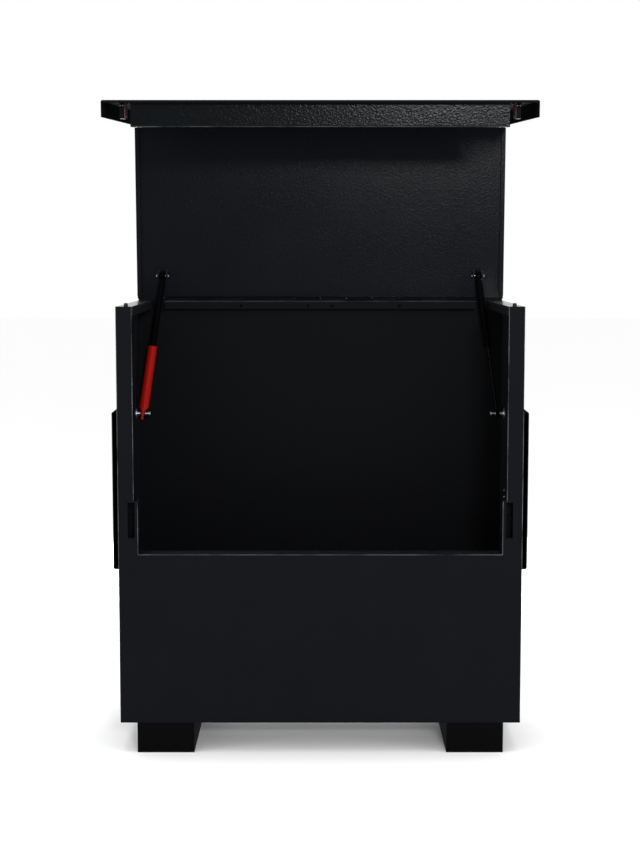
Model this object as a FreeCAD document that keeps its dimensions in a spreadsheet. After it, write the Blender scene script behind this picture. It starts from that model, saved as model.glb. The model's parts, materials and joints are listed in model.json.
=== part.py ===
import FreeCAD
import Part
import math
import os
import re
import Sketcher
from FreeCAD import Placement, Rotation, Vector

# Jobsite storage box of folded sheet steel, stored with its lid open.
# X runs to the right, Y from the open front to the rear, Z up from the floor.
# The model is laid out with Y = 0 on the front face of the body. The lid's pieces are
# laid out as they lie when the lid is closed and are then turned about the hinge axis.
# At the end everything shifts along Y, so that the origin is the centre of the footprint.

doc = FreeCAD.newDocument("StorageBox")
sheet = doc.addObject("Spreadsheet::Sheet", "Sizes")

SIZES = (
    ("body_width", 1128, "outer width of the body"),
    ("body_depth", 560, "outer depth of the body"),
    ("rim_height", 1258, "floor to the top of the body's rim"),
    ("shell", 3, "thickness of the body's sheet steel"),
    ("skid_height", 86, "height of the skids"),
    ("skid_width", 160, "width of a skid"),
    ("skid_inset", 48, "side of the body to the side of a skid"),
    ("sill_height", 567, "floor to the sill of the front opening"),
    ("post_upper", 45, "width of a front post above the step"),
    ("post_lower", 56, "width of a front post below the step"),
    ("step_height", 716, "floor to the step in the posts"),
    ("return_depth", 60, "depth of the return round the front opening"),
    ("bend", 4, "outer radius of a bend in sheet steel"),
    ("slot_length", 100, "length of a lock slot, which ends under the step"),
    ("slot_width", 19, "width of a lock slot"),
    ("slot_margin", 27.5, "side of the body to a lock slot"),
    ("rim_width", 48, "width of the rim along the side walls"),
    ("rim_lip", 25, "depth of the lip under the rim"),
    ("rear_rim_margin", 88, "side of the body to the end of the rear rim"),
    ("rear_rim_width", 45, "width of the rear rim"),
    ("upstand", 8, "rise of the rear wall above the rim on both sides of the hinge"),
    ("upstand_lap", 2, "how far that rise reaches in front of the hinge's end"),
    ("upstand_gap", 2, "that rise to the ends of the lid's side edges"),
    ("lip_gap", 0.6, "rear wall to the lid's rear lip"),
    ("lip_sheet", 2.5, "thickness of the lid's rear lip"),
    ("lip_drop", 5.5, "how far the lid's rear lip hangs below its top sheet"),
    ("base_flange", 25, "height of the base panel's upturned edges"),
    ("rivet_inner", 37, "centre of the box to the inner rivets of the rear rim"),
    ("rivet_outer", 243, "centre of the box to the outer rivets of the rear rim"),
    ("wall_rivet_y", 440, "front of the body to the rivets in the side walls"),
    ("wall_rivet_z", 674, "floor to the middle between those rivets"),
    ("wall_rivet_pitch", 20, "distance between those rivets"),
    ("keep_setback", 14, "back of the return to the back of a lock keep"),
    ("keep_overlap", 13, "how far a lock keep reaches below its slot"),
    ("fit_gap", 0.5, "clearance between pieces that lie side by side"),
    ("handle_low", 485, "floor to the underside of a side handle"),
    ("handle_high", 947, "floor to the top of a side handle"),
    ("handle_stand", 40, "how far a side handle stands off the wall"),
    ("handle_front", 207, "front of the body to the front of a side handle"),
    ("handle_run", 150, "length of a side handle along the wall"),
    ("handle_sheet", 4, "thickness of a side handle's plate"),
    ("lid_rest", 9, "gap between the rim and the lid's top sheet"),
    ("lid_edge_gap", 1, "gap between the rim and the lid's edge"),
    ("lid_lip", 10, "width of the lip along the lid's top sheet"),
    ("front_gap", 5, "gap between the posts and the lid's front sheet"),
    ("lid_lap", 26, "how far the closed lid reaches below the sill"),
    ("lid_flange", 44, "depth of the side flanges of the lid's front"),
    ("lid_side_gap", 5, "gap between the body's side and that flange"),
    ("lid_bend", 5, "outer radius of the bend between the lid's front and that flange"),
    ("lid_hem", 4, "depth of the hem along the lid's lower edge"),
    ("channel_margin", 65, "side of the body to the end of the lid's lock channel"),
    ("channel_rise", 8, "sill to the lock channel of the closed lid"),
    ("channel_height", 60, "height of the lock channel"),
    ("channel_reach", 69, "front of the lid to the back of the channel"),
    ("channel_sheet", 2, "thickness of the lock channel's steel"),
    ("open_angle", 87.3, "how far the stored lid is opened, in degrees"),
    ("hinge_length", 960, "length of the continuous hinge"),
    ("hinge_offset", 4.2, "rear face of the body to the hinge axis"),
    ("hinge_rise", 5, "rim to the hinge axis"),
    ("knuckle_radius", 4, "outer radius of the hinge knuckles"),
    ("hinge_pin_radius", 2, "radius of the hinge pin"),
    ("pin_clearance", 0.05, "radial clearance of a running fit"),
    ("knuckle_pairs", 6, "knuckles on each leaf of the hinge"),
    ("leaf_sheet", 1.6, "thickness of a hinge leaf"),
    ("leaf_height", 30, "height of the hinge leaf on the body"),
    ("stud_margin", 24, "side of the body to a strut's lower ball"),
    ("stud_inset", 95, "rear of the body to a strut's lower ball"),
    ("stud_drop", 340.5, "rim to a strut's lower ball"),
    ("ball_radius", 8, "radius of a strut's lower ball"),
    ("stud_plate_radius", 17, "radius of a stud's plate on the wall"),
    ("clevis_plate_radius", 12, "radius of a clevis's base"),
    ("tube_neck", 15, "upper pivot to the end of a strut's cylinder"),
    ("clevis_margin", 80.3, "side of the body to a strut's upper pivot"),
    ("clevis_inset", 68, "rear of the body to that pivot, lid closed"),
    ("clevis_drop", 23.8, "lid's top sheet to that pivot"),
    ("ear_gap", 22, "gap between the ears of a clevis"),
    ("ear_sheet", 3, "thickness of a clevis's ears"),
    ("shank_play", 2.5, "end of a strut's upper bolt shank to the ear beside it"),
    ("eye_radius", 11, "radius of a strut's eyes"),
    ("eye_width", 12, "width of a strut's eyes"),
    ("eye_bore", 8.3, "inner radius of a strut's lower eye"),
    ("rod_radius", 4, "radius of a strut's rod"),
    ("tube_radius", 10, "outer radius of a strut's cylinder"),
    ("tube_start", 208, "lower ball to the mouth of the open cylinder"),
    ("sleeve_radius", 14, "outer radius of the strut lock sleeve"),
    ("sleeve_bore", 12, "inner radius of the strut lock sleeve"),
    ("sleeve_start", 16, "lower ball to the lower end of the sleeve"),
    ("sleeve_length", 191, "length of the sleeve above its tongue"),
    ("sleeve_mouth", 15, "width of the sleeve's open side"),
    ("tongue_reach", 20, "lower ball to the tip of the sleeve's tongue"),
    ("case_margin", 31, "side of the body to a lock case"),
    ("case_width", 13, "width of a lock case"),
    ("case_rise", 7, "lower end of a slot to its lock case"),
    ("case_play", 4, "lock case to the upper end of its slot"),
    ("case_depth", 42, "depth of a lock case"),
    ("case_shoulder", 7, "flat part of a lock case's top, ahead of its slant"),
    ("case_slant", 35, "fall of a lock case's top, which clears the slot as the lid turns"),
    ("case_wall", 1.5, "thickness of a lock case's inner side"),
    ("plate_sheet", 1.2, "thickness of the plate on a lock case"),
    ("pad_sheet", 0.8, "thickness of the pad on that plate"),
    ("bolt_rise", 30, "lower end of a lock case to its bolt"),
    ("bolt_height", 30, "height of a lock bolt"),
    ("bolt_depth", 10, "depth of a lock bolt"),
    ("bolt_setback", 17, "lid's front sheet to a lock bolt"),
    ("bolt_clearance", 0.2, "clearance round a lock bolt"),
    ("keyhole_margin", 37.5, "side of the body to a keyhole"),
    ("escutcheon_radius", 15, "radius of a keyhole plate"),
    ("escutcheon_sheet", 1.5, "thickness of a keyhole plate"),
    ("cover_sheet", 1.5, "thickness of a keyhole cover"),
    ("buffer_y", 25, "front of the body to a rubber buffer"),
    ("buffer_margin", 27, "side of the body to a rubber buffer"),
    ("buffer_radius", 6, "radius of a rubber buffer"),
)

for row, (alias, value, meaning) in enumerate(SIZES, start=1):
    sheet.set("A%d" % row, meaning)
    sheet.set("B%d" % row, str(value))
    sheet.setAlias("B%d" % row, alias)
doc.recompute()

ALIASES = {alias for alias, value, meaning in SIZES}
SIDES = (("left", -1), ("right", 1))
PARTS = []


def formula(text):
    """Name the sheet in front of each size that an expression uses."""
    return re.sub(r"[a-z_]+", lambda m: "Sizes." + m.group(0) if m.group(0) in ALIASES else m.group(0), text)


def size(text):
    """Value of an expression of the sheet's sizes."""
    return float(sheet.evalExpression(formula(text)))


def bind(obj, prop, text):
    """Bind a property to an expression of the sheet's sizes."""
    obj.setExpression(prop, formula(text))


def keep(obj, label):
    """Register an object as a sub-part of the box."""
    obj.Label = label
    PARTS.append(obj)
    return obj


class Body:
    """A PartDesign body built from bound profiles on its own origin planes."""

    # Each plane's normal, as its sign along the axis that the extrusion is measured on.
    NORMALS = {"XY_Plane": 1, "XZ_Plane": -1, "YZ_Plane": 1}

    def __init__(self, label):
        self.body = doc.addObject("PartDesign::Body", label)
        self.count = 0
        keep(self.body, label)

    def sketch(self, role, start):
        self.count += 1
        sketch = self.body.newObject("Sketcher::SketchObject", "%s_profile_%d" % (self.body.Name, self.count))
        plane = [item for item in self.body.Origin.OriginFeatures if item.Role == role][0]
        sketch.AttachmentSupport = (plane, [""])
        sketch.MapMode = "FlatFace"
        bind(sketch, "AttachmentOffset.Base.z", "%d * (%s)" % (self.NORMALS[role], start))
        return sketch

    @staticmethod
    def polygon(sketch, corners):
        points = [Vector(size(u), size(v), 0) for u, v in corners]
        first = sketch.GeometryCount
        total = len(points)
        for i in range(total):
            sketch.addGeometry(Part.LineSegment(points[i], points[(i + 1) % total]), False)
        for i in range(total):
            after = first + (i + 1) % total
            sketch.addConstraint(Sketcher.Constraint("Coincident", first + i, 2, after, 1))
        for i, (u, v) in enumerate(corners):
            for kind, axis, value, text in (("DistanceX", -2, points[i].x, u), ("DistanceY", -1, points[i].y, v)):
                if abs(value) < 1e-9:
                    sketch.addConstraint(Sketcher.Constraint("PointOnObject", first + i, 1, axis))
                else:
                    item = sketch.addConstraint(Sketcher.Constraint(kind, -1, 1, first + i, 1, value))
                    bind(sketch, "Constraints[%d]" % item, text)

    @staticmethod
    def circle(sketch, u, v, radius):
        centre = Vector(size(u), size(v), 0)
        item = sketch.addGeometry(Part.Circle(centre, Vector(0, 0, 1), size(radius)), False)
        for kind, axis, value, text in (("DistanceX", -2, centre.x, u), ("DistanceY", -1, centre.y, v)):
            if abs(value) < 1e-9:
                sketch.addConstraint(Sketcher.Constraint("PointOnObject", item, 3, axis))
            else:
                bound = sketch.addConstraint(Sketcher.Constraint(kind, -1, 1, item, 3, value))
                bind(sketch, "Constraints[%d]" % bound, text)
        bound = sketch.addConstraint(Sketcher.Constraint("Radius", item, size(radius)))
        bind(sketch, "Constraints[%d]" % bound, radius)

    def extrude(self, kind, role, start, length, polygons=(), circles=()):
        """Pad or pocket profiles from start, over length, towards the axis's positive end."""
        sketch = self.sketch(role, start)
        for corners in polygons:
            self.polygon(sketch, corners)
        for u, v, radius in circles:
            self.circle(sketch, u, v, radius)
        feature = self.body.newObject("PartDesign::" + kind, "%s_%s_%d" % (self.body.Name, kind.lower(), self.count))
        feature.Profile = sketch
        bind(feature, "Length", length)
        along_normal = self.NORMALS[role] > 0
        feature.Reversed = along_normal if kind == "Pocket" else not along_normal
        before = self.body.Shape.Volume if kind == "Pocket" else 0.0
        doc.recompute()
        if kind == "Pocket" and not self.body.Shape.Volume < before - 1e-6:
            raise RuntimeError("pocket removes nothing from " + self.body.Label)
        return feature

    def pad(self, role, start, length, polygons=(), circles=()):
        return self.extrude("Pad", role, start, length, polygons, circles)

    def pocket(self, role, start, length, polygons=(), circles=()):
        return self.extrude("Pocket", role, start, length, polygons, circles)

    def round_edges(self, axis, places, radius):
        """Round the straight edges along an axis that pass through the given places."""
        base = self.body.Tip
        others = [i for i in range(3) if i != axis]
        targets = [tuple(size(text) for text in place) for place in places]
        names = []
        for number, edge in enumerate(base.Shape.Edges, start=1):
            if edge.Curve.TypeId != "Part::GeomLine":
                continue
            low, high = edge.Vertexes[0].Point, edge.Vertexes[-1].Point
            if max(abs(high[i] - low[i]) for i in others) > 1e-6:
                continue
            for target in targets:
                if all(abs(low[others[k]] - target[k]) < 1e-4 for k in range(2)):
                    names.append("Edge%d" % number)
        if not names:
            raise RuntimeError("no edge to round on " + self.body.Label)
        self.count += 1
        fillet = self.body.newObject("PartDesign::Fillet", "%s_fillet_%d" % (self.body.Name, self.count))
        fillet.Base = (base, names)
        bind(fillet, "Radius", radius)
        doc.recompute()
        return fillet


def rectangle(low_u, high_u, low_v, high_v):
    return ((low_u, low_v), (high_u, low_v), (high_u, high_v), (low_u, high_v))


def sided(sign, corners):
    """Carry a profile laid out for the right-hand side to one side of the box."""
    return tuple(("%d * (%s)" % (sign, u), v) for u, v in corners)


def compound(label, members):
    """Identical pieces kept as separate solids of one sub-part."""
    group = doc.addObject("Part::Compound", label)
    group.Links = members
    return keep(group, label)


def box(name, corner, lengths):
    solid = doc.addObject("Part::Box", name)
    for prop, text in zip(("Length", "Width", "Height"), lengths):
        bind(solid, prop, text)
    for axis, text in zip("xyz", corner):
        bind(solid, "Placement.Base." + axis, text)
    return solid


def cone(name, radius_low, radius_high, height, centre, direction=Vector(0, 0, 1)):
    solid = doc.addObject("Part::Cone", name)
    solid.Placement = Placement(Vector(), Rotation(Vector(0, 0, 1), direction))
    bind(solid, "Radius1", radius_low)
    bind(solid, "Radius2", radius_high)
    bind(solid, "Height", height)
    for axis, text in zip("xyz", centre):
        bind(solid, "Placement.Base." + axis, text)
    return solid


HALF = "body_width / 2"
SLOT_HIGH = "(step_height - shell)"
SLOT_LOW = "(step_height - shell - slot_length)"

UPSTAND_START = "(hinge_length / 2 - upstand_lap)"
REAR_LIP_START = "(hinge_length / 2 + fit_gap)"
REAR_RIM_HALF = "(body_width / 2 - rear_rim_margin)"
STUD_X = "(body_width / 2 - stud_margin)"
STUD_Y = "(body_depth - stud_inset)"
STUD_Z = "(rim_height - stud_drop)"
CLEVIS_X = "(body_width / 2 - clevis_margin)"
CLEVIS_Y = "(body_depth - clevis_inset)"
CLEVIS_Z = "(rim_height + lid_rest - clevis_drop)"
CHANNEL_HALF = "(body_width / 2 - channel_margin)"
CHANNEL_LOW = "(sill_height + channel_rise)"
LID_FRONT_LOW = "(sill_height - lid_lap)"
CASE_LOW = "(%s + case_rise)" % SLOT_LOW
CASE_HIGH = "(%s - case_play)" % SLOT_HIGH
BOLT_LOW = "(%s + bolt_rise)" % CASE_LOW
KEYHOLE_Z = "(%s + bolt_height / 2)" % BOLT_LOW

# ---------------------------------------------------------------- body of the box


def front_frame():
    """One folded sheet: lower panel, sill, two posts and the return round the opening."""
    part = Body("front_frame")
    upper = HALF + " - post_upper"
    lower = HALF + " - post_lower"
    outline = [(HALF, "skid_height"), (HALF, "rim_height"), (upper, "rim_height"), (upper, "step_height"),
               (lower, "step_height"), (lower, "sill_height")]
    outline += [("-(%s)" % u, v) for u, v in reversed(outline)]
    part.pad("XZ_Plane", "0", "return_depth", [outline])
    behind = [(HALF, "skid_height"), (HALF, "rim_height"), (upper + " - shell", "rim_height"),
              (upper + " - shell", "rim_height - shell"), (upper + " + shell", "rim_height - shell"),
              (upper + " + shell", "step_height - shell"), (lower + " + shell", "step_height - shell"),
              (lower + " + shell", "sill_height - shell")]
    behind += [("-(%s)" % u, v) for u, v in reversed(behind)]
    part.pocket("XZ_Plane", "shell", "return_depth - shell", [behind])
    slots = []
    for side, sign in SIDES:
        inner = HALF + " - slot_margin - slot_width"
        slots.append(sided(sign, rectangle(inner, HALF + " - slot_margin", SLOT_LOW, SLOT_HIGH)))
    part.pocket("XZ_Plane", "0", "shell", slots)
    edges = [("%d * (%s)" % (sign, place), "0") for side, sign in SIDES for place in (upper, lower, HALF)]
    part.round_edges(2, edges, "bend - 1.2")
    part.round_edges(0, [("0", "sill_height")], "bend - 1.2")
    return part


def side_panel(side, sign):
    """Side wall with an inward rim along the top and a lip turned down from it."""
    part = Body("side_panel_" + side)
    wall = HALF + " - shell"
    inner = HALF + " - rim_width"
    section = [(HALF, "skid_height"), (HALF, "rim_height"), (inner, "rim_height"),
               (inner, "rim_height - rim_lip"), (inner + " + shell", "rim_height - rim_lip"),
               (inner + " + shell", "rim_height - shell"), (wall, "rim_height - shell"), (wall, "skid_height")]
    part.pad("XZ_Plane", "shell", "body_depth - 2 * shell", [sided(sign, section)])
    part.round_edges(1, [("%d * (%s)" % (sign, HALF), "rim_height"), ("%d * (%s)" % (sign, inner), "rim_height")],
                     "bend - 1")
    return part


def rear_panel():
    """Rear wall; its rim and lip stop short of the struts."""
    part = Body("rear_panel")
    rear = "body_depth"
    part.pad("XZ_Plane", rear + " - shell", "shell", [rectangle("-" + HALF, HALF, "skid_height", "rim_height")])
    front = rear + " - rear_rim_width"
    section = [(rear + " - shell", "rim_height"), (front, "rim_height"), (front, "rim_height - rim_lip"),
               (front + " + shell", "rim_height - rim_lip"), (front + " + shell", "rim_height - shell"),
               (rear + " - shell", "rim_height - shell")]
    part.pad("YZ_Plane", "-" + REAR_RIM_HALF, "2 * " + REAR_RIM_HALF, [section])
    part.round_edges(0, [(front, "rim_height")], "bend - 1")
    for side, sign in SIDES:
        rise = rectangle(UPSTAND_START, HALF + " - shell - fit_gap", "rim_height", "rim_height + upstand")
        part.pad("XZ_Plane", rear + " - shell", "shell", [sided(sign, rise)])
    return part


def base_panel():
    """Floor of the box with its side edges turned up against the walls."""
    part = Body("base_panel")
    wall = HALF + " - shell"
    low = "skid_height"
    section = [("-(%s)" % wall, low), (wall, low), (wall, low + " + base_flange"),
               (wall + " - shell", low + " + base_flange"), (wall + " - shell", low + " + shell"),
               ("-(%s) + shell" % wall, low + " + shell"), ("-(%s) + shell" % wall, low + " + base_flange"),
               ("-(%s)" % wall, low + " + base_flange")]
    part.pad("XZ_Plane", "shell", "body_depth - 2 * shell", [section])
    return part


def skid(side, sign):
    """Box-section runner under the base."""
    part = Body("skid_" + side)
    outer = HALF + " - skid_inset"
    inner = outer + " - skid_width"
    tube = sided(sign, rectangle(inner, outer, "0", "skid_height"))
    hollow = sided(sign, rectangle(inner + " + shell", outer + " - shell", "shell", "skid_height - shell"))
    part.pad("XZ_Plane", "shell", "body_depth - 2 * shell", [tube, hollow])
    return part


def skid_end_caps():
    """Plates that close the runners' ends."""
    caps = []
    for side, sign in SIDES:
        middle = "%d * (%s - skid_inset - skid_width / 2)" % (sign, HALF)
        for place, start in (("front", "0"), ("rear", "body_depth - shell")):
            corner = (middle + " - skid_width / 2", start, "0")
            caps.append(box("Cap_%s_%s" % (side, place), corner, ("skid_width", "shell", "skid_height")))
    return compound("skid_end_caps", caps)


def side_handle(side, sign):
    """Tall folded plate that stands off the side wall, open at its front and rear."""
    part = Body("side_handle_" + side)
    outer = HALF + " + handle_stand"
    inner = outer + " - handle_sheet"
    low, high, sheet_size = "handle_low", "handle_high", "handle_sheet"
    section = [(outer, low), (outer, high), (HALF, high), (HALF, "%s - %s" % (high, sheet_size)),
               (inner, "%s - %s" % (high, sheet_size)), (inner, "%s + %s" % (low, sheet_size)),
               (HALF, "%s + %s" % (low, sheet_size)), (HALF, low)]
    part.pad("XZ_Plane", "handle_front", "handle_run", [sided(sign, section)])
    corners = [("%d * (%s)" % (sign, outer), low), ("%d * (%s)" % (sign, outer), high)]
    part.round_edges(1, corners, "handle_sheet + 2")
    return part


def lock_keep(side, sign):
    """Folded box inside a post that takes the lock, with the striker on its rear wall."""
    part = Body("lock_keep_" + side)
    far = HALF + " - 2 * shell"
    near = HALF + " - slot_margin + fit_gap"
    back = HALF + " - slot_margin - slot_width"
    rear = "return_depth - keep_setback"
    section = [(far, "shell"), (far, rear + " + shell"), (back, rear + " + shell"), (back, rear),
               (far + " - shell", rear), (far + " - shell", "2 * shell"), (near, "2 * shell"), (near, "shell")]
    low, high = SLOT_LOW + " - keep_overlap", "step_height - shell - fit_gap"
    part.pad("XY_Plane", low, "%s - (%s)" % (high, low), [sided(sign, section)])
    striker = rectangle(near + " - 3 * shell", near + " + 2 * shell", rear + " - 2 * shell", rear)
    part.pad("XY_Plane", "(%s + %s) / 2 - 10" % (SLOT_LOW, SLOT_HIGH), "20", [sided(sign, striker)])
    return part


def strut_stud(side, sign):
    """Stud on the side wall: plate, spacer, ball and outer head on one axis along X."""
    part = Body("strut_stud_" + side)
    wall = HALF + " - shell"
    centre = (STUD_Y, STUD_Z)

    def disc(inner, outer, radius):
        low, high = (inner, outer) if sign > 0 else ("-(%s)" % outer, "-(%s)" % inner)
        part.pad("YZ_Plane", low, "(%s) - (%s)" % (high, low), circles=[centre + (radius,)])

    disc(wall + " - shell", wall, "stud_plate_radius")
    disc(wall + " - 3.5 * shell", wall + " - shell", "ball_radius - 1")
    disc(STUD_X + " - eye_width - 4", wall + " - 2 * shell", "rod_radius")
    disc(STUD_X + " - eye_width - 10", STUD_X + " - eye_width - 4", "ball_radius - 1.5")
    ball = part.body.newObject("PartDesign::AdditiveSphere", "Ball_" + side)
    bind(ball, "Radius", "ball_radius")
    plane = [item for item in part.body.Origin.OriginFeatures if item.Role == "YZ_Plane"][0]
    ball.AttachmentSupport = (plane, [""])
    ball.MapMode = "FlatFace"
    bind(ball, "AttachmentOffset.Base.x", STUD_Y)
    bind(ball, "AttachmentOffset.Base.y", STUD_Z)
    bind(ball, "AttachmentOffset.Base.z", "%d * %s" % (sign, STUD_X))
    doc.recompute()
    return part


def rivet_heads(label, centres, direction, radius="4", height="2.5"):
    """Row of low rivet heads that stand on one face."""
    heads = []
    for number, centre in enumerate(centres, start=1):
        heads.append(cone("%s_%d" % (label, number), radius, "(%s) * 0.6" % radius, height, centre, direction))
    return compound(label, heads)


def rim_rivets():
    front = "body_depth - rear_rim_width"
    height = "rim_height - rim_lip * 0.6"
    centres = [(place, front, height) for place in ("-rivet_outer", "-rivet_inner", "rivet_inner", "rivet_outer")]
    return rivet_heads("rim_rivets", centres, Vector(0, -1, 0))


def wall_rivets():
    centres = [(HALF + " - shell", "wall_rivet_y", "wall_rivet_z %s wall_rivet_pitch / 2" % way) for way in "-+"]
    return rivet_heads("wall_rivets", centres, Vector(-1, 0, 0), "3.5", "2")


def lid_buffers():
    pads = []
    for side, sign in SIDES:
        centre = ("%d * (%s - buffer_margin)" % (sign, HALF), "buffer_y", "rim_height")
        pads.append(cone("Buffer_" + side, "buffer_radius", "buffer_radius - 1", "lid_rest - fit_gap", centre))
    return compound("lid_buffers", pads)


HINGE_Y = "body_depth + hinge_offset"
HINGE_Z = "rim_height + hinge_rise"


def hinge_leaf(label, first, leaf):
    """Leaf plate with every second knuckle of the continuous hinge."""
    part = Body(label)
    pitch = "(hinge_length / (2 * knuckle_pairs))"
    start = "-hinge_length / 2 + %d * %s + fit_gap / 2" % (first, pitch)
    part.pad("YZ_Plane", "-hinge_length / 2", "hinge_length", [leaf])
    part.pad("YZ_Plane", start, pitch + " - fit_gap", circles=[(HINGE_Y, HINGE_Z, "knuckle_radius")])
    return part, start, pitch


def knuckle_row(part, start, pitch, gap_start):
    """Repeat the knuckle, clear the other leaf's knuckles and bore the row."""
    knuckle = part.body.Tip
    row = part.body.newObject("PartDesign::LinearPattern", part.body.Name + "_row")
    row.Originals = [knuckle]
    axis = [item for item in part.body.Origin.OriginFeatures if item.Role == "X_Axis"][0]
    row.Direction = (axis, [""])
    bind(row, "Length", "2 * %s * (knuckle_pairs - 1)" % pitch)
    bind(row, "Occurrences", "knuckle_pairs")
    part.body.Tip = row
    doc.recompute()
    part.pocket("YZ_Plane", gap_start, pitch + " + fit_gap",
                circles=[(HINGE_Y, HINGE_Z, "knuckle_radius + fit_gap / 2")])
    gap = part.body.Tip
    gaps = part.body.newObject("PartDesign::LinearPattern", part.body.Name + "_gaps")
    gaps.Originals = [gap]
    gaps.Direction = (axis, [""])
    bind(gaps, "Length", "2 * %s * (knuckle_pairs - 1)" % pitch)
    bind(gaps, "Occurrences", "knuckle_pairs")
    part.body.Tip = gaps
    doc.recompute()
    part.pocket("YZ_Plane", "-hinge_length / 2", "hinge_length",
                circles=[(HINGE_Y, HINGE_Z, "hinge_pin_radius + pin_clearance")])


def hinge_leaf_body():
    face = "body_depth"
    leaf = rectangle(face, face + " + leaf_sheet", HINGE_Z + " - hinge_rise - leaf_height", HINGE_Z)
    part, start, pitch = hinge_leaf("hinge_leaf_body", 0, leaf)
    knuckle_row(part, start, pitch, "-hinge_length / 2 + %s - fit_gap / 2" % pitch)
    return part


def hinge_leaf_lid():
    face = "body_depth"
    leaf = rectangle(face, face + " + leaf_sheet", HINGE_Z, "rim_height + lid_rest + shell")
    part, start, pitch = hinge_leaf("hinge_leaf_lid", 1, leaf)
    knuckle_row(part, start, pitch, "-hinge_length / 2 - fit_gap / 2")
    return part


def hinge_pin():
    pin = Body("hinge_pin")
    pin.pad("YZ_Plane", "-hinge_length / 2", "hinge_length", circles=[(HINGE_Y, HINGE_Z, "hinge_pin_radius")])
    return pin


def hinge_rivets():
    face = "body_depth + leaf_sheet"
    height = "rim_height - leaf_height * 0.6"
    centres = [("hinge_length * %.3f" % place, face, height) for place in (-0.44, -0.264, -0.088, 0.088, 0.264, 0.44)]
    return rivet_heads("hinge_rivets", centres, Vector(0, 1, 0), "4", "2")


# ---------------------------------------------------------------- the lid, laid out closed

LID_UNDER = "rim_height + lid_rest"
LID_TOP = "rim_height + lid_rest + shell"
FRONT_FACE = "-(front_gap + shell)"
LID_WIDE = "body_width / 2 + lid_side_gap + shell"


def lid_top():
    """Top sheet with an edge and an inward lip along both sides, a rear edge and two rear lips."""
    part = Body("lid_top")
    low = "rim_height + lid_edge_gap"
    wall = HALF + " - shell"
    lip = HALF + " - shell - lid_lip"
    section = [("-" + HALF, LID_TOP), ("-" + HALF, low), ("-(%s)" % lip, low),
               ("-(%s)" % lip, low + " + 2"), ("-(%s)" % wall, low + " + 2"), ("-(%s)" % wall, LID_UNDER),
               (wall, LID_UNDER), (wall, low + " + 2"), (lip, low + " + 2"),
               (lip, low), (HALF, low), (HALF, LID_TOP)]
    edge_end = "body_depth - shell - upstand_gap"
    part.pad("XZ_Plane", "-front_gap", edge_end + " + front_gap", [section])
    part.pad("XZ_Plane", edge_end, "shell + upstand_gap", [rectangle("-" + HALF, HALF, LID_UNDER, LID_TOP)])
    within = UPSTAND_START + " - fit_gap"
    rear_edge = rectangle("-(%s)" % within, within, low, LID_UNDER)
    part.pad("XZ_Plane", "body_depth - shell", "shell", [rear_edge])
    for side, sign in SIDES:
        cover = rectangle(REAR_LIP_START, HALF, LID_UNDER, LID_TOP)
        part.pad("XZ_Plane", "body_depth", "lip_gap + lip_sheet", [sided(sign, cover)])
        lip_face = rectangle(REAR_LIP_START, HALF, LID_UNDER + " - lip_drop", LID_UNDER)
        part.pad("XZ_Plane", "body_depth + lip_gap", "lip_sheet", [sided(sign, lip_face)])
    part.round_edges(1, [("-" + HALF, LID_TOP), (HALF, LID_TOP)], "shell - 0.5")
    return part


def lid_front():
    """Front sheet of the lid with side flanges, closed flange tops and a hem at its foot."""
    part = Body("lid_front")
    shoulder = "rim_height + lid_edge_gap"
    outline = [(LID_WIDE, LID_FRONT_LOW), (LID_WIDE, shoulder), (HALF, shoulder), (HALF, LID_TOP)]
    outline += [("-(%s)" % u, v) for u, v in reversed(outline)]
    part.pad("XZ_Plane", FRONT_FACE, "shell", [outline])
    wall = LID_WIDE + " - shell"
    for side, sign in SIDES:
        flange = rectangle(wall, LID_WIDE, LID_FRONT_LOW, shoulder)
        part.pad("XZ_Plane", "-front_gap", "lid_flange - shell", [sided(sign, flange)])
        top = rectangle(HALF + " + fit_gap", wall, shoulder + " - shell", shoulder)
        part.pad("XZ_Plane", "-front_gap", "lid_flange - shell", [sided(sign, top)])
    hem = rectangle("-(%s)" % wall, wall, LID_FRONT_LOW, LID_FRONT_LOW + " + shell")
    part.pad("XZ_Plane", "-front_gap", "lid_hem", [hem])
    edges = [("%d * (%s)" % (sign, LID_WIDE), FRONT_FACE) for side, sign in SIDES]
    part.round_edges(2, edges, "lid_bend")
    part.round_edges(0, [(FRONT_FACE, LID_FRONT_LOW), (FRONT_FACE, LID_TOP)], "shell - 1")
    return part


def lid_lock_channel():
    """Deep stiffening channel across the foot of the lid's front, between the locks."""
    part = Body("lid_lock_channel")
    back = FRONT_FACE + " + channel_reach"
    high = CHANNEL_LOW + " + channel_height"
    section = [("-front_gap", CHANNEL_LOW), (back, CHANNEL_LOW), (back, high), ("-front_gap", high),
               ("-front_gap", high + " - channel_sheet"), (back + " - channel_sheet", high + " - channel_sheet"),
               (back + " - channel_sheet", CHANNEL_LOW + " + channel_sheet"),
               ("-front_gap", CHANNEL_LOW + " + channel_sheet")]
    part.pad("YZ_Plane", "-" + CHANNEL_HALF, "2 * " + CHANNEL_HALF, [section])
    part.round_edges(0, [(back, CHANNEL_LOW), (back, high)], "channel_sheet + 2")
    return part


def channel_end_caps():
    """Plates that close the ends of the lock channel."""
    caps = []
    inner = "channel_reach - shell - channel_sheet - fit_gap"
    for side, sign in SIDES:
        start = "%d * %s - %s" % (sign, CHANNEL_HALF, "channel_sheet" if sign > 0 else "0")
        corner = (start, "-front_gap", CHANNEL_LOW + " + channel_sheet + fit_gap")
        lengths = ("channel_sheet", inner, "channel_height - 2 * channel_sheet - 2 * fit_gap")
        caps.append(box("Channel_cap_" + side, corner, lengths))
    return compound("channel_end_caps", caps)


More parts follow.
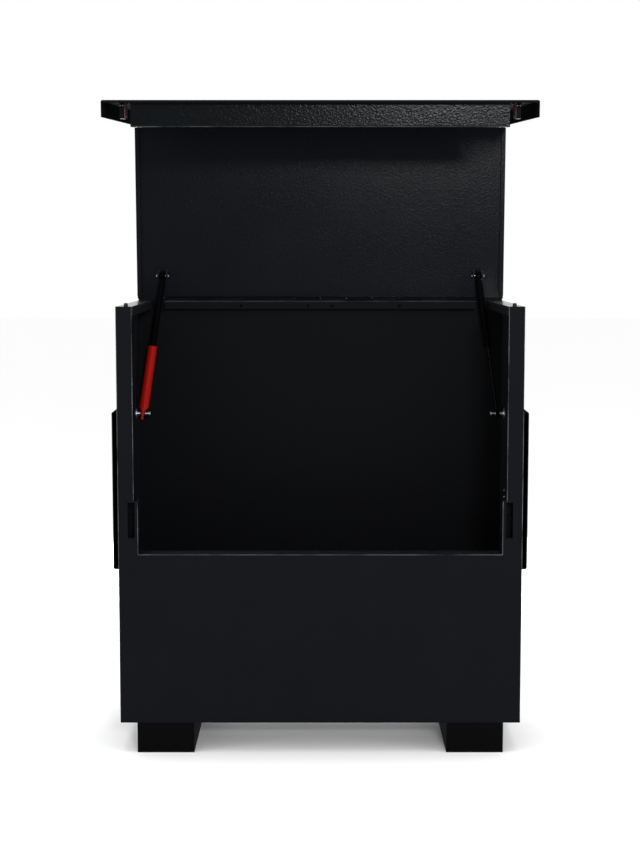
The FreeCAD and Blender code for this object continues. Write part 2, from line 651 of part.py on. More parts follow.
def strut_clevis(side, sign):
    """Round base on the lid's sheet with two ears and the bolt's heads outside them."""
    part = Body("strut_clevis_" + side)
    centre = "%d * %s" % (sign, CLEVIS_X)
    base_y = CLEVIS_Y + " - clevis_plate_radius"
    part.pad("XY_Plane", LID_UNDER + " - ear_sheet", "ear_sheet", circles=[(centre, base_y, "clevis_plate_radius")])
    gap = "ear_gap / 2"
    root = LID_UNDER + " - ear_sheet"
    profile = [(CLEVIS_Y + " - 18", root), (CLEVIS_Y + " + 8", root), (CLEVIS_Y + " + 8", CLEVIS_Z + " + 4"),
               (CLEVIS_Y + " + 4", CLEVIS_Z + " - 8"), (CLEVIS_Y + " - 4", CLEVIS_Z + " - 8"),
               (CLEVIS_Y + " - 9", CLEVIS_Z + " + 3")]
    web = [(CLEVIS_Y + " - 18", root), (CLEVIS_Y + " - 13", root), (CLEVIS_Y + " - 13", root + " - 3"),
           (CLEVIS_Y + " - 18", root + " - 3")]
    part.pad("YZ_Plane", centre + " - ear_gap / 2 - ear_sheet", "ear_gap + 2 * ear_sheet", [web])
    for ear in (-1, 1):
        start = "%s %s" % (centre, "+ " + gap if ear > 0 else "- %s - ear_sheet" % gap)
        part.pad("YZ_Plane", start, "ear_sheet", [profile])
        head = "%s %s" % (centre, "+ %s + ear_sheet" % gap if ear > 0 else "- %s - 2 * ear_sheet" % gap)
        part.pad("YZ_Plane", head, "ear_sheet", circles=[(CLEVIS_Y, CLEVIS_Z, "6")])
    return part


def slanted(back, low, high, inset):
    """Side view of a lock case, or of a plate on it that stays inset from the case's edges."""
    front = "-front_gap + " + inset
    rear = "case_depth - front_gap - " + back
    knee = "case_shoulder - front_gap - %s / 2" % inset
    return ((front, low), (rear, low), (rear, "%s - case_slant + %s" % (high, back)), (knee, high), (front, high))


def lock_case(side, sign):
    """Narrow lock case that enters the slot of its post; the bolt runs through it."""
    part = Body("lock_case_" + side)
    outer = HALF + " - case_margin"
    inner = outer + " - case_width"
    start = inner if sign > 0 else "-(%s)" % outer
    part.pad("YZ_Plane", start, "case_width", [slanted("0", CASE_LOW, CASE_HIGH, "0")])
    window = rectangle(inner + " + case_wall", outer, BOLT_LOW + " - bolt_clearance",
                       BOLT_LOW + " + bolt_height + bolt_clearance")
    part.pocket("XZ_Plane", "bolt_setback - front_gap - bolt_clearance", "bolt_depth + 2 * bolt_clearance",
                [sided(sign, window)])
    return part


def lock_plate(label, sign, inner, sheet_size, inset, trim):
    """Thin plate on the inner side of a lock case, with the case's own outline."""
    part = Body(label)
    start = "%s - %s" % (inner, sheet_size) if sign > 0 else "-(%s)" % inner
    profile = slanted(inset, CASE_LOW + " + " + trim, CASE_HIGH + " - " + trim, inset)
    part.pad("YZ_Plane", start, sheet_size, [profile])
    return part


def lock_cover(side, sign):
    return lock_plate("lock_cover_" + side, sign, HALF + " - case_margin - case_width", "plate_sheet", "2", "3")


def lock_pad(side, sign):
    inner = HALF + " - case_margin - case_width - plate_sheet"
    return lock_plate("lock_pad_" + side, sign, inner, "pad_sheet", "7", "13")


def lock_bolt(side, sign):
    """Bolt that slides sideways out of the lock case, behind the face of the post."""
    part = Body("lock_bolt_" + side)
    outer = HALF + " - case_margin"
    start = outer + " - case_width + case_wall + bolt_clearance"
    profile = rectangle(start, outer, BOLT_LOW, BOLT_LOW + " + bolt_height")
    part.pad("XZ_Plane", "bolt_setback - front_gap", "bolt_depth", [sided(sign, profile)])
    return part


def escutcheon(side, sign):
    """Round keyhole plate on the outside of the lid's front sheet."""
    part = Body("escutcheon_" + side)
    centre = "%d * (%s - keyhole_margin)" % (sign, HALF)
    start = FRONT_FACE + " - escutcheon_sheet"
    part.pad("XZ_Plane", start, "escutcheon_sheet", circles=[(centre, KEYHOLE_Z, "escutcheon_radius")])
    slot = rectangle(centre + " - 1.5", centre + " + 1.5", KEYHOLE_Z + " - 9", KEYHOLE_Z + " + 1")
    part.pocket("XZ_Plane", start, "escutcheon_sheet", [slot])
    return part


def keyhole_cover(side, sign):
    """Drop-shaped cover that swings about a rivet above the keyhole."""
    part = Body("keyhole_cover_" + side)
    centre = "%d * (%s - keyhole_margin)" % (sign, HALF)
    start = FRONT_FACE + " - escutcheon_sheet - cover_sheet - 0.1"
    part.pad("XZ_Plane", start, "cover_sheet", circles=[(centre, KEYHOLE_Z + " - 4", "8")])
    neck = ((centre + " - 7.5", KEYHOLE_Z + " - 2"), (centre + " + 7.5", KEYHOLE_Z + " - 2"),
            (centre + " + 3", KEYHOLE_Z + " + 12"), (centre + " - 3", KEYHOLE_Z + " + 12"))
    part.pad("XZ_Plane", start, "cover_sheet", [neck])
    part.pad("XZ_Plane", start + " - 0.6", "0.6", circles=[(centre, KEYHOLE_Z + " + 9", "2.4")])
    return part


# ---------------------------------------------------------------- the gas struts


def strut_rod(side):
    """Rod with an eye round the stud's ball, laid out along Z with the ball at the origin."""
    part = Body("strut_rod_" + side)
    part.pad("YZ_Plane", "-eye_width / 2", "eye_width", circles=[("0", "0", "eye_radius"), ("0", "0", "eye_bore")])
    part.pad("XY_Plane", "eye_radius - 1.5", "tube_start + 30 - eye_radius", circles=[("0", "0", "rod_radius")])
    return part


def strut_tube(side, length):
    """Cylinder that slides on the rod, bored from its mouth, with a neck at its closed end."""
    part = Body("strut_cylinder_" + side)
    span = "%.4f - tube_start - tube_neck" % length
    part.pad("XY_Plane", "tube_start", span, circles=[("0", "0", "tube_radius")])
    part.pad("XY_Plane", "%.4f - tube_neck" % length, "tube_neck - eye_radius + 3",
             circles=[("0", "0", "rod_radius + 1.5")])
    part.pocket("XY_Plane", "tube_start", "6", circles=[("0", "0", "rod_radius + pin_clearance")])
    part.pocket("XY_Plane", "tube_start + 6", span + " - 12", circles=[("0", "0", "tube_radius - 1.5")])
    return part


def strut_top_eye(side, length):
    """Upper eye with the bolt's shank between the clevis's ears."""
    part = Body("strut_top_eye_" + side)
    part.pad("YZ_Plane", "-eye_width / 2", "eye_width", circles=[("0", "%.4f" % length, "eye_radius")])
    part.pad("YZ_Plane", "-(ear_gap / 2 - shank_play)", "ear_gap - 2 * shank_play", circles=[("0", "%.4f" % length, "rod_radius")])
    part.pocket("XY_Plane", "%.4f - eye_radius - 1" % length, "4", circles=[("0", "0", "rod_radius + 1.8")])
    return part


def lock_sleeve():
    """Clip-on sleeve round the left rod, open towards the rear, with a pointed tongue at its foot."""
    part = Body("lock_sleeve")
    foot, top = "-tongue_reach", "sleeve_start + sleeve_length"
    part.pad("XY_Plane", foot, "%s + tongue_reach" % top,
             circles=[("0", "0", "sleeve_radius"), ("0", "0", "sleeve_bore")])
    wide, beyond = "sleeve_radius * 2", "-tongue_reach - 5"
    part.pocket("XZ_Plane", "0", wide, [rectangle("-(%s)" % wide, wide, beyond, "sleeve_start")])
    for side, sign in SIDES:
        beside = [(wide, beyond), (wide, "sleeve_start"), ("sleeve_bore - 1", "sleeve_start"),
                  ("6", "sleeve_start - 9"), ("4", "4"), ("3", beyond)]
        part.pocket("XZ_Plane", "-(%s)" % wide, wide, [sided(sign, beside)])
    slit = rectangle("-sleeve_mouth / 2", "sleeve_mouth / 2", "0", wide)
    part.pocket("XY_Plane", "sleeve_start - 1", "sleeve_length + 2", [slit])
    return part


def turned(point, angle):
    """A point of the closed lid, carried round the hinge axis to the given opening."""
    hinge = Vector(0, size(HINGE_Y), size(HINGE_Z))
    turn = Rotation(Vector(1, 0, 0), -angle)
    return turn.multVec(point - hinge) + hinge


def lid_placement(angle):
    hinge = Vector(0, size(HINGE_Y), size(HINGE_Z))
    turn = Rotation(Vector(1, 0, 0), -angle)
    return Placement(hinge - turn.multVec(hinge), turn)


# ---------------------------------------------------------------- building the box

front_frame()
rear_panel()
base_panel()
for side, sign in SIDES:
    side_panel(side, sign)
    skid(side, sign)
    side_handle(side, sign)
    lock_keep(side, sign)
    strut_stud(side, sign)
skid_end_caps()
rim_rivets()
wall_rivets()
lid_buffers()
hinge_leaf_body()
hinge_pin()
hinge_rivets()
doc.recompute()

first_lid_piece = len(PARTS)
lid_top()
lid_front()
lid_lock_channel()
channel_end_caps()
hinge_leaf_lid()
for side, sign in SIDES:
    strut_clevis(side, sign)
    lock_case(side, sign)
    lock_cover(side, sign)
    lock_pad(side, sign)
    lock_bolt(side, sign)
    escutcheon(side, sign)
    keyhole_cover(side, sign)
doc.recompute()
opened = lid_placement(size("open_angle"))
for piece in PARTS[first_lid_piece:]:
    piece.Placement = opened

for side, sign in SIDES:
    ball = Vector(sign * size(STUD_X), size(STUD_Y), size(STUD_Z))
    pivot = turned(Vector(sign * size(CLEVIS_X), size(CLEVIS_Y), size(CLEVIS_Z)), size("open_angle"))
    shut = Vector(sign * size(CLEVIS_X), size(CLEVIS_Y), size(CLEVIS_Z))
    reach = pivot - ball
    length = reach.Length
    # The eyes face along X; the strut leans so that its own Z axis points at the upper pivot.
    z_axis = Vector(reach).normalize()
    y_axis = z_axis.cross(Vector(1, 0, 0)).normalize()
    x_axis = y_axis.cross(z_axis)
    lean = Placement(ball, Rotation(x_axis, y_axis, z_axis, "ZXY"))
    pieces = [strut_rod(side), strut_tube(side, length), strut_top_eye(side, length)]
    if sign < 0:
        pieces.append(lock_sleeve())
    doc.recompute()
    for piece in pieces:
        piece.body.Placement = lean
    axis = (pivot - ball).cross(shut - ball).normalize()
    swing = math.degrees((pivot - ball).getAngle(shut - ball))
    print("strut", side, "open %.3f closed %.3f swing %.4f deg" % (length, (shut - ball).Length, swing))
    print("  axis", [round(value, 6) for value in axis], "along", [round(value, 6) for value in z_axis])

doc.recompute()

# ---------------------------------------------------------------- checks, origin and files

failed = [obj.Label for obj in doc.Objects if "Invalid" in obj.State or "Error" in obj.State]
if failed:
    raise RuntimeError("failed objects: " + ", ".join(failed))
whole = FreeCAD.BoundBox()
for piece in PARTS:
    if piece.Shape.isNull() or not piece.Shape.isValid():
        raise RuntimeError("bad shape: " + piece.Label)
    whole.add(piece.Shape.BoundBox)
shift = Vector(0, -(whole.YMin + whole.YMax) / 2, 0)
os.makedirs("parts", exist_ok=True)
for piece in PARTS:
    piece.Placement = Placement(shift, Rotation()).multiply(piece.Placement)
doc.recompute()
for piece in PARTS:
    shape = piece.Shape
    if shape.isNull() or not shape.isValid():
        raise RuntimeError("bad shape: " + piece.Label)
    shape.exportStep("parts/%s.step" % piece.Label)
print("sub-parts", len(PARTS), "shift of Y %.4f" % shift.y)
print("hinge axis y %.4f z %.4f" % (size(HINGE_Y) + shift.y, size(HINGE_Z)))
print("box", [round(value, 2) for value in (whole.XMin, whole.XMax, whole.YMin + shift.y, whole.YMax + shift.y,
                                            whole.ZMin, whole.ZMax)])
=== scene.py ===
# %% [markdown]
# A jobsite storage box stands open, as it does on a building site at the start of the day. It is
# folded sheet steel, sprayed with a near-black powder coat. The solids come finished from the CAD
# model, so this lesson is about what they wear and how they are lit: paint that looks like paint,
# zinc that looks like zinc, and a camera at standing height in front of the open lid.

import json
import math

import bmesh
import bpy
from mathutils import Matrix, Vector


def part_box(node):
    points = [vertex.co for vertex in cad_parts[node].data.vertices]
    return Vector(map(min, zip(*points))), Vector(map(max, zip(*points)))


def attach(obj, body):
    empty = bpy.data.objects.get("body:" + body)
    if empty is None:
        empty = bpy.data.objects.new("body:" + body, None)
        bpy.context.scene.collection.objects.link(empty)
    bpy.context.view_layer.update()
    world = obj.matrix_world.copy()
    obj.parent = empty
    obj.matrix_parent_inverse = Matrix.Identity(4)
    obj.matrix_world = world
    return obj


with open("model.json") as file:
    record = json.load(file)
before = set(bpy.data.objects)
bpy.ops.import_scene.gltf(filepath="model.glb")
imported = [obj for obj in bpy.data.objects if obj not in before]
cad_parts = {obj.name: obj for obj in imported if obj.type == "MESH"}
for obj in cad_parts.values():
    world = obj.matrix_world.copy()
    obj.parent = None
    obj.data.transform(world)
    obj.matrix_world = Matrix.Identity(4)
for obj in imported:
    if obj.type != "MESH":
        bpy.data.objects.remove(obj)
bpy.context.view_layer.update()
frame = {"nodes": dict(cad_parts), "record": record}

# %% [markdown]
# The camera stands 4.35 m in front of the box's front, 1.41 m above the floor, and looks down by
# about six degrees. A long lens keeps the two posts almost parallel. It could also be aimed with a
# constraint, but plain numbers are easier to read and leave nothing to evaluate.

# %% Camera
LENS_MM = 69.55
SENSOR_MM = 36
CAMERA_PLACE = (-0.0008, -4.7248, 1.4098)
LOOK_DOWN_DEGREES = 6.07
camera_data = bpy.data.cameras.new("Camera")
camera_data.lens = LENS_MM
camera_data.sensor_width = SENSOR_MM
camera = bpy.data.objects.new("Camera", camera_data)
camera.location = CAMERA_PLACE
camera.rotation_euler = (math.radians(90 - LOOK_DOWN_DEGREES), 0, 0)
bpy.context.collection.objects.link(camera)
bpy.context.scene.camera = camera
print("camera", tuple(round(value, 3) for value in camera.location))

# %% [markdown]
# Shader nodes are arithmetic drawn with wires. One small class wraps a socket, so that a sum of
# two masks is written as a sum. The sums could be wired by hand as well, but a formula is easier
# to check than a row of boxes.


# %% A socket that can be used in sums
class Wire:
    """One output of a node; arithmetic on it adds Math nodes."""

    def __init__(self, finish, socket):
        self.finish, self.socket = finish, socket

    def math(self, operation, first, second):
        return self.finish.node("ShaderNodeMath", {"operation": operation}, {0: first, 1: second})

    def __add__(self, other):
        return self.math("ADD", self, other)

    __radd__ = __add__

    def __mul__(self, other):
        return self.math("MULTIPLY", self, other)

    __rmul__ = __mul__

    def __sub__(self, other):
        return self.math("SUBTRACT", self, other)

    def __rsub__(self, other):
        return self.math("SUBTRACT", other, self)

    def most(self, other):
        """The larger of two masks at each point."""
        return self.math("MAXIMUM", self, other)


print("wires can be added, subtracted, multiplied and compared")

# %% [markdown]
# Its partner, Finish, holds a material and makes every other node through one method, which sets
# a node's options first and plugs its inputs afterwards. Four masks say where a finish changes:
# edges finds sharp corners with a Bevel node, bends finds the folds of the sheet by their leaning
# normal, facing finds the faces that look one way, and noise breaks all of them up. The last three
# read the piece's own coordinates, so they travel with the lid when it turns. Masks painted by hand
# would look as good, but they would have to be painted again for every change of size.


# %% A material and its nodes
class Finish:
    """A material in the making."""

    def __init__(self, name):
        self.material = bpy.data.materials.new(name)
        self.material.use_nodes = True
        self.tree = self.material.node_tree
        self.tree.nodes.clear()

    def node(self, kind, settings=None, inputs=None, output=0):
        made = self.tree.nodes.new(kind)
        for key, value in (settings or {}).items():
            setattr(made, key, value)
        for key, value in (inputs or {}).items():
            if isinstance(value, Wire):
                self.tree.links.new(value.socket, made.inputs[key])
            else:
                made.inputs[key].default_value = value
        return Wire(self, made.outputs[output])

    def place(self):
        """Position on the piece itself, in metres, which travels with the piece."""
        return self.node("ShaderNodeTexCoord", output="Object")

    def noise(self, scale, detail=2.0, roughness=0.5):
        inputs = {"Vector": self.place(), "Scale": scale, "Detail": detail, "Roughness": roughness}
        return self.node("ShaderNodeTexNoise", {"noise_dimensions": "3D"}, inputs)

    def between(self, value, low, high):
        """Stretch a mask, so that low becomes black and high becomes white."""
        inputs = {"Value": value, "From Min": low, "From Max": high}
        return self.node("ShaderNodeMapRange", {"clamp": True}, inputs)

    def blend(self, factor, first, second):
        """Mix two colours by a mask."""
        inputs = {0: factor, 6: first, 7: second}
        return self.node("ShaderNodeMix", {"data_type": "RGBA"}, inputs, output=2)

    def edges(self, radius):
        """White where a corner is close: the rounded normal leaves the flat one there."""
        rounded = self.node("ShaderNodeBevel", {"samples": 6}, {"Radius": radius})
        flat = self.node("ShaderNodeNewGeometry", output="Normal")
        inputs = {0: rounded, 1: flat}
        alike = self.node("ShaderNodeVectorMath", {"operation": "DOT_PRODUCT"}, inputs, "Value")
        return self.between(1 - alike, 0.01, 0.12), rounded

    def lean(self, direction, axis):
        """One part, 0, 1 or 2, of a direction."""
        return self.node("ShaderNodeSeparateXYZ", inputs={0: direction}, output=axis)

    def bends(self):
        """White on rounded bends: only there does the piece's own normal lean between its axes."""
        turned = self.node("ShaderNodeTexCoord", output="Normal")
        size = self.node("ShaderNodeVectorMath", {"operation": "ABSOLUTE"}, {0: turned})
        largest = self.lean(size, 0).most(self.lean(size, 1)).most(self.lean(size, 2))
        return self.between(1 - largest, 0.02, 0.2)

    def facing(self, axis, low, high):
        """White on the faces that look along one of the piece's own axes."""
        turned = self.node("ShaderNodeTexCoord", output="Normal")
        return self.between(self.lean(turned, axis), low, high)

    def bump(self, height, distance, strength=1.0, normal=None):
        inputs = {"Height": height, "Distance": distance, "Strength": strength}
        if normal is not None:
            inputs["Normal"] = normal
        return self.node("ShaderNodeBump", inputs=inputs)

    def surface(self, **sockets):
        inputs = {key.replace("_", " "): value for key, value in sockets.items()}
        shader = self.node("ShaderNodeBsdfPrincipled", inputs=inputs)
        out = self.tree.nodes.new("ShaderNodeOutputMaterial")
        self.tree.links.new(shader.socket, out.inputs["Surface"])
        return self.material


def grey(value, warm=0.0):
    """A grey, a little warm above 0 and a little cool below it."""
    return (value * (1 + warm), value, value * (1 - warm), 1)


def shade(tint, factor=1.0):
    """A colour made darker below 1 and paler above it."""
    return tuple(min(1.0, part * factor) for part in tint) + (1,)


print("shader helpers ready")

# %% [markdown]
# Powder coat isn't smooth. It flows into a fine orange peel of about 2 mm, and on storage boxes a
# hammered coat adds wider dimples of 4 to 6 mm that catch the light. Both are bumps, because they
# change how light leaves the surface and not its colour. Corners wear first and grow smoother.
#
# Three things are laid over that where a piece asks for them. Bends get a painted highlight: their
# colour is made paler in patches, and the same patches get a glossy coat. Faces that look up take
# the overspray and keep a glossy skin, and their colour is made paler there as a painted highlight.
# The lid's outside has stood in the weather, so it is duller than its inside. Black paint is mostly
# a matter of restraint: a base of half a percent and a weak reflection, or the white studio turns
# it grey.


# %% Powder coat
REARWARD, UPWARD = 1, 2
GRAIN_PER_METRE, CLOUDS_PER_METRE, RUBS_PER_METRE = 620, 5, 13


def powder_coat(
    name,
    tint,
    rough,
    peel,
    specular,
    bend_highlight_tone=0.0,
    bend_coat=0.0,
    per_metre=210,
    corner=0.0025,
    top_gloss_and_highlight=0.0,
    weathered=0.0,
):
    """Sprayed paint; peel is its depth in metres and per_metre how many dimples it has."""
    finish = Finish(name)
    near_corner, rounded = finish.edges(corner)
    fine = finish.noise(GRAIN_PER_METRE, 3.0, 0.55)
    dimples = finish.noise(per_metre, 1.5, 0.5)
    broad = finish.noise(CLOUDS_PER_METRE, 4.0, 0.6)
    colour = finish.blend(broad, shade(tint, 0.86), shade(tint, 1.14))
    gloss = 0.0
    # Painted highlight: the bends' colour is made paler in patches, and the same patches get a
    # glossy coat.
    if bend_highlight_tone:
        patches = finish.between(finish.noise(RUBS_PER_METRE, 3.0, 0.6), 0.3, 0.6)
        bend_highlight_and_gloss = finish.bends() * patches
        colour = finish.blend(bend_highlight_and_gloss, colour, grey(bend_highlight_tone, -0.04))
        gloss = bend_highlight_and_gloss * bend_coat
    if top_gloss_and_highlight:
        # Painted highlight: faces that look up are made paler, and they also get a glossy coat.
        upward_highlight_and_gloss = finish.facing(UPWARD, 0.9, 0.98)
        colour = finish.blend(upward_highlight_and_gloss * broad, colour, grey(0.03))
        gloss = (upward_highlight_and_gloss * top_gloss_and_highlight).most(gloss)
    dullness = rough
    if weathered:
        outside = finish.facing(REARWARD, 0.05, 0.4)
        gloss = gloss * (1 - outside)
        dullness = outside * weathered + rough
    return finish.surface(
        Base_Color=colour,
        Roughness=dullness + (fine - 0.5) * 0.14 + (broad - 0.5) * 0.08 - near_corner * 0.08,
        Normal=finish.bump(fine * 0.2 + dimples * 0.8, peel, 1.0, rounded),
        Specular_IOR_Level=specular,
        Coat_Weight=gloss,
        Coat_Roughness=0.2,
    )


COAT = powder_coat(
    "Powder coat",
    (0.0040, 0.0046, 0.0061),
    0.46,
    0.0004,
    0.02,
    bend_highlight_tone=0.09,
    bend_coat=1.0,
    corner=0.004,
    top_gloss_and_highlight=0.85,
)
# Painted light: the side walls are painted paler than the body paint to stand in for light on their
# inner faces.
COAT_SIDE_PAINTED_LIGHT = powder_coat(
    "Side coat with painted light", (0.0095, 0.0098, 0.0118), 0.5, 0.0004, 0.03, 0.06, 0.5, top_gloss_and_highlight=0.85
)
# Painted shade: the rear wall and the base are painted darker than the body paint to stand in for
# shade inside the box.
COAT_REAR_PAINTED_SHADE = powder_coat("Rear coat with painted shade", (0.0027, 0.0030, 0.0037), 0.5, 0.0004, 0.03, 0.08, 1.0)
COAT_LID = powder_coat(
    "Lid coat",
    (0.0022, 0.0030, 0.0047),
    0.21,
    0.0006,
    0.05,
    bend_highlight_tone=0.14,
    bend_coat=1.0,
    per_metre=190,
    weathered=0.35,
)
COAT_CHANNEL = powder_coat(
    "Channel coat", (0.0018, 0.0026, 0.0034), 0.17, 0.0006, 0.05, 0.02, 1.0, per_metre=185
)
# Painted shade: the lid front is painted a little darker than the body paint to stand in for the
# shadow on its underside.
COAT_TEXTURED_PAINTED_SHADE = powder_coat("Textured coat with painted shade", (0.0036, 0.0041, 0.0052), 0.85, 0.0003, 0.02)
COAT_HANDLE = powder_coat("Handle coat", (0.0040, 0.0043, 0.0050), 0.9, 0.0003, 0.0)
COAT_SKID = powder_coat("Skid paint", (0.0018, 0.0018, 0.0019), 0.6, 0.00025, 0.015)
COAT_FITTING = powder_coat("Fitting paint", (0.0026, 0.0027, 0.0031), 0.5, 0.0002, 0.04)
COAT_CLEVIS = powder_coat("Clevis coat", (0.0024, 0.0025, 0.0028), 0.5, 0.0002, 0.05, 0.08, 0.5)
print("paints", [material.name for material in bpy.data.materials])

# %% [markdown]
# Zinc plate is a metal, so its colour is in the reflection: a soft cloudy grey with fine brushing.
# The strut's rod is ground and nitrided, which leaves it dark and much smoother. An image of
# brushed metal would do as well, but it has to be unwrapped and it repeats. Noise in two sizes, one
# for the clouds and one for the grain, does neither.


# %% Metals
PLATING_CORNER = 0.0008


def plated(name, tone, rough, cloud):
    """Bare or plated metal; cloud is how far its grey wanders."""
    finish = Finish(name)
    near_corner, rounded = finish.edges(PLATING_CORNER)
    patches = finish.noise(90, 4.0, 0.6)
    grain = finish.noise(1800, 2.0, 0.5)
    dark, pale = grey(tone * (1 - cloud)), grey(tone * (1 + cloud * 0.5), -0.02)
    colour = finish.blend(patches, dark, pale)
    return finish.surface(
        Base_Color=colour,
        Metallic=1.0,
        Roughness=rough + (patches - 0.5) * 0.2 + (grain - 0.5) * 0.08 - near_corner * 0.06,
        Normal=finish.bump(grain, 0.00004, 0.7, rounded),
    )


ZINC = plated("Zinc plate", 0.62, 0.34, 0.25)
BRIGHT = plated("Bright bolt", 0.34, 0.3, 0.3)
NITRIDED = plated("Nitrided rod", 0.005, 0.25, 0.06)
print("metals", ZINC.name, BRIGHT.name, NITRIDED.name)

# %% [markdown]
# The rest are small pieces: the gloss black cylinders, the red moulded sleeve and pads, the plain
# white plates on the lock cases and the rubber buffers. They could share one material in several
# colours, but each has its own roughness and grain, and one short function gives them all.


# %% Plastics, rubber and gloss paint
MOULDED_CORNER = 0.0012


def moulded(name, tint, rough, grain_scale, depth, specular):
    """A plain surface with a fine grain, paler near its corners."""
    finish = Finish(name)
    near_corner, rounded = finish.edges(MOULDED_CORNER)
    grain = finish.noise(grain_scale, 3.0, 0.6)
    cloud = finish.noise(24, 3.0, 0.55)
    clouded = finish.blend(cloud, shade(tint, 0.8), shade(tint))
    # The colour is made paler near corners.
    colour = finish.blend(near_corner * 0.5, clouded, shade(tint, 1.3))
    return finish.surface(
        Base_Color=colour,
        Roughness=rough + (grain - 0.5) * 0.12 + (cloud - 0.5) * 0.1,
        Normal=finish.bump(grain, depth, 0.8, rounded),
        Specular_IOR_Level=specular,
    )


GLOSS_BLACK = moulded("Cylinder paint", (0.0012, 0.0012, 0.0013), 0.5, 700, 0.00005, 0.01)
RED_SLEEVE = moulded("Red sleeve", (0.33, 0.0052, 0.0026), 0.45, 500, 0.00008, 0.05)
RED_PAD = moulded("Red pad", (0.15, 0.022, 0.028), 0.5, 900, 0.00008, 0.2)
WHITE_PLATE = moulded("White plate", (0.15, 0.16, 0.15), 0.5, 900, 0.00006, 0.2)
RUBBER = moulded("Rubber", (0.012, 0.012, 0.012), 0.75, 1200, 0.0001, 0.3)
print("finishes in all", len(bpy.data.materials))

# %% [markdown]
# Each solid already names a material slot of the imported record. Looking the slot up keeps the
# choice of finish in one table, and no solid is left out by mistake. A second table names the
# pieces whose paint lies differently: the side walls, painted paler as painted light, the rear
# wall, the base and the lid front, painted darker as painted shade, the hammered lid and channel,
# and small painted fittings.

# %% Dress the solids
FINISHES = {
    "body_paint": COAT,
    "skid_paint": COAT_SKID,
    "zinc": ZINC,
    "rod_black": NITRIDED,
    "cylinder_black": GLOSS_BLACK,
    "rubber": RUBBER,
    "sleeve_red": RED_SLEEVE,
    "cover_white": WHITE_PLATE,
    "pad_red": RED_PAD,
}
SPECIAL = {
    COAT_REAR_PAINTED_SHADE: ("rear_panel", "base_panel"),
    COAT_SIDE_PAINTED_LIGHT: ("side_panel_left", "side_panel_right"),
    COAT_LID: ("lid_top",),
    COAT_TEXTURED_PAINTED_SHADE: ("lid_front",),
    COAT_HANDLE: ("side_handle_left", "side_handle_right"),
    COAT_CHANNEL: ("lid_lock_channel", "channel_end_caps"),
    COAT_CLEVIS: ("strut_clevis_left", "strut_clevis_right"),
    COAT_SKID: ("rim_rivets",),
    COAT_FITTING: (
        "lock_case_left",
        "lock_case_right",
        "lock_keep_left",
        "lock_keep_right",
        "hinge_leaf_body",
        "hinge_leaf_lid",
        "hinge_pin",
        "hinge_rivets",
    ),
    GLOSS_BLACK: ("strut_top_eye_left", "strut_top_eye_right"),
}
special_of = {node: finish for finish, nodes in SPECIAL.items() for node in nodes}
slot_of = {item["node"]: item["material_slot"] for item in frame["record"]["subparts"]}
for node, solid in frame["nodes"].items():
    finish = special_of.get(node, FINISHES[slot_of[node]])
    if not solid.material_slots:
        solid.data.materials.append(finish)
    for slot in solid.material_slots:
        slot.material = finish
print("dressed", len(slot_of), "solids,", len(special_of), "of them specially")

# %% [markdown]
# Some fittings are too small for the CAD model. The struts hang on bright bolts, of which a domed
# head shows outside each ear of the clevis and a short spacer shows beside the eye, and two screws
# hold each lock case's end plate. They are turned parts, so one function spins a profile round an
# axis. A cylinder with a bevel would do as well, but the profile says what the part looks like.


# %% A turned part
CREASE_DEGREES = 35


def turned_part(name, profile, centre, axis, finish, body, steps=24):
    """Spin (place, radius) pairs round an axis through centre and let the piece ride on a body."""
    mesh = bpy.data.meshes.new(name)
    made = bmesh.new()
    rings = []
    for place, radius in profile:
        ring = []
        for step in range(steps):
            turn = 2 * math.pi * step / steps
            ring.append(made.verts.new((place, radius * math.cos(turn), radius * math.sin(turn))))
        rings.append(ring)
    for near, far in zip(rings, rings[1:]):
        for step in range(steps):
            after = (step + 1) % steps
            made.faces.new((near[step], near[after], far[after], far[step]))
    made.faces.new(reversed(rings[0]))
    made.faces.new(rings[-1])
    bmesh.ops.recalc_face_normals(made, faces=made.faces)
    made.to_mesh(mesh)
    made.free()
    mesh.shade_smooth()
    piece = bpy.data.objects.new(name, mesh)
    aim = Vector((1, 0, 0)).rotation_difference(axis)
    piece.matrix_world = Matrix.Translation(centre) @ aim.to_matrix().to_4x4()
    piece.data.materials.append(finish)
    bpy.context.collection.objects.link(piece)
    crease = piece.modifiers.new("Keep the rims crisp", "EDGE_SPLIT")
    crease.split_angle = math.radians(CREASE_DEGREES)
    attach(piece, body)
    return piece


print("turned parts are closed at both ends and ride on a body")

# %% [markdown]
# The profiles are in metres: first the place along the axis, then the radius there. A bolt's head
# sits outside each ear of the clevis, 17 mm from the middle of the strut's eye, and the spacer
# fills the room between the eye and the inner ear. The screws go into the end plate of each lock
# case, which looks at the reader while the lid is open, so its slope follows from the opening
# angle. The places could be typed in, but measuring the solids keeps the fittings on them.

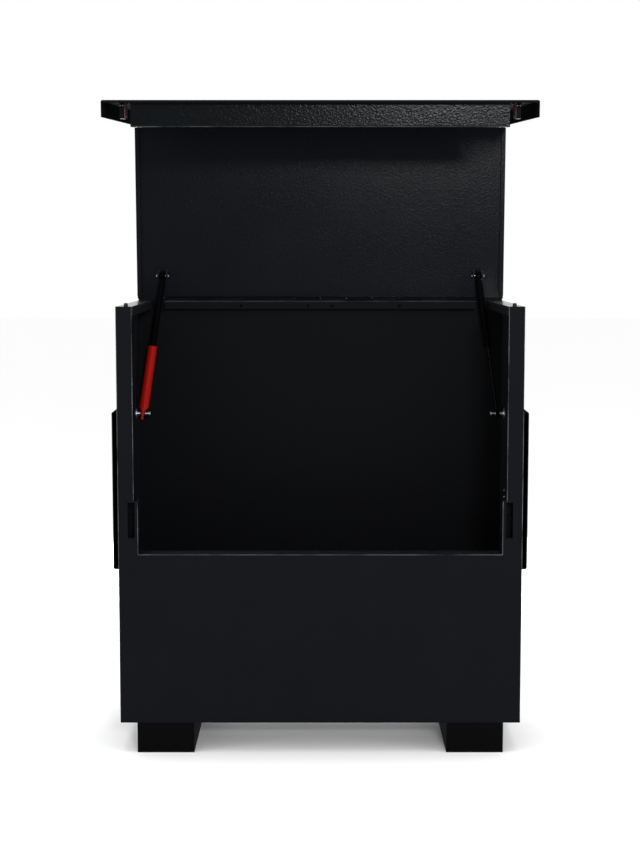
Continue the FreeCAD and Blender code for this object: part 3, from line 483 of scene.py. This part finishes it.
# %% Strut bolts and lock case screws
HEAD_PLACE, EAR_INNER = 0.017, 0.011
DOME = ((0, 0.0042), (0.0012, 0.0040), (0.0024, 0.0032), (0.0032, 0.0018), (0.0035, 0.0005))
SPACER = ((0.0062, 0.003), (0.0064, 0.0032), (EAR_INNER - 0.0002, 0.0032), (EAR_INNER, 0.003))
SCREW = ((0, 0.0019), (0.0006, 0.0019), (0.0012, 0.0012), (0.0013, 0.0004))
SCREW_ASIDE, SCREW_DROP, SCREW_STEPS = 0.0035, 0.012, 16
LID_OPENING = math.radians(87.3)
outwards = Vector((0, -math.sin(LID_OPENING), -math.cos(LID_OPENING)))
for side, inwards in (("left", 1), ("right", -1)):
    low, high = (Vector(corner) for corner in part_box("strut_top_eye_" + side))
    pivot = (low + high) / 2
    for label, sign in (("outer", -inwards), ("inner", inwards)):
        towards = Vector((sign, 0, 0))
        head = "bolt_head_" + side + "_" + label
        turned_part(head, DOME, pivot + towards * HEAD_PLACE, towards, BRIGHT, "lid")
    turned_part("bolt_spacer_" + side, SPACER, pivot, Vector((inwards, 0, 0)), BRIGHT, "lid")
    low, high = (Vector(corner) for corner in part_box("lock_case_" + side))
    for number, aside in ((1, -SCREW_ASIDE), (2, SCREW_ASIDE)):
        place = Vector(((low.x + high.x) / 2 + aside, low.y, high.z - SCREW_DROP))
        screw = "case_screw_%s_%d" % (side, number)
        turned_part(screw, SCREW, place, outwards, BRIGHT, "lid", SCREW_STEPS)

# %% [markdown]
# The studio is a white sweep. A white floor under a white sky comes out white all the way to the
# horizon, and the box only takes away the light beside its own feet, which is the soft shadow that
# makes it stand. The sky has a strength of 1 for every ray, so it is white behind the box, white in
# the zinc's reflections, and still a plain light.


# %% Floor and world
FLOOR_TONE, FLOOR_HALF_WIDTH = 0.98, 30


def plain(name, tone):
    """Matt paint for the floor."""
    finish = Finish(name)
    speck = finish.noise(3, 2.0, 0.5)
    colour = finish.blend(speck, grey(tone * 0.995), grey(tone))
    return finish.surface(Base_Color=colour, Roughness=0.9, Specular_IOR_Level=0.1)


floor_mesh = bpy.data.meshes.new("Floor")
sweep = bmesh.new()
bmesh.ops.create_grid(sweep, x_segments=2, y_segments=2, size=FLOOR_HALF_WIDTH)
sweep.to_mesh(floor_mesh)
sweep.free()
floor = bpy.data.objects.new("Floor", floor_mesh)
floor.data.materials.append(plain("Floor", FLOOR_TONE))
bpy.context.collection.objects.link(floor)

world = bpy.data.worlds.new("Studio")
bpy.context.scene.world = world
world.use_nodes = True
sky = world.node_tree
sky.nodes.clear()
white = sky.nodes.new("ShaderNodeBackground")
white.inputs["Color"].default_value = (1, 1, 1, 1)
white.inputs["Strength"].default_value = 1.0
shown = sky.nodes.new("ShaderNodeOutputWorld")
sky.links.new(white.outputs["Background"], shown.inputs["Surface"])
print("sky strength", white.inputs["Strength"].default_value)

# %% [markdown]
# Lamps shape the black paint. A small strong one high behind the reader's right shoulder gives the
# lid and the lock channel their sheen. A strip overhead draws the upper edges, a low one behind the
# box keeps the floor white, and two tall strips at the sides draw the bends of the posts. Area
# lamps are the natural choice: their size sets how soft the glint is.


# %% Lamps
def soft_lamp(name, place, aim, width, height, power):
    """An area lamp, in metres and watts, turned so that it looks at its aim."""
    data = bpy.data.lights.new(name, "AREA")
    data.shape, data.size, data.size_y, data.energy = "RECTANGLE", width, height, power
    lamp = bpy.data.objects.new(name, data)
    lamp.location = place
    lamp.rotation_euler = (Vector(aim) - Vector(place)).to_track_quat("-Z", "Y").to_euler()
    bpy.context.collection.objects.link(lamp)


soft_lamp("Sheen lamp", (0.85, -6.0, 2.3), (0.1, 0, 1.6), 0.8, 0.4, 145)
soft_lamp("Top strip", (0.0, -0.6, 4.6), (0, 0, 0.8), 2.4, 0.25, 60)
soft_lamp("Low lamp", (0.0, 3.2, 0.7), (0, 0, 0), 2.4, 0.8, 100)
for name, sign in (("Left strip", -1), ("Right strip", 1)):
    soft_lamp(name, (sign * 4.2, -2.3, 0.9), (0, -0.2, 0.9), 0.15, 2.2, 35)
bpy.context.scene.view_settings.view_transform = "Standard"
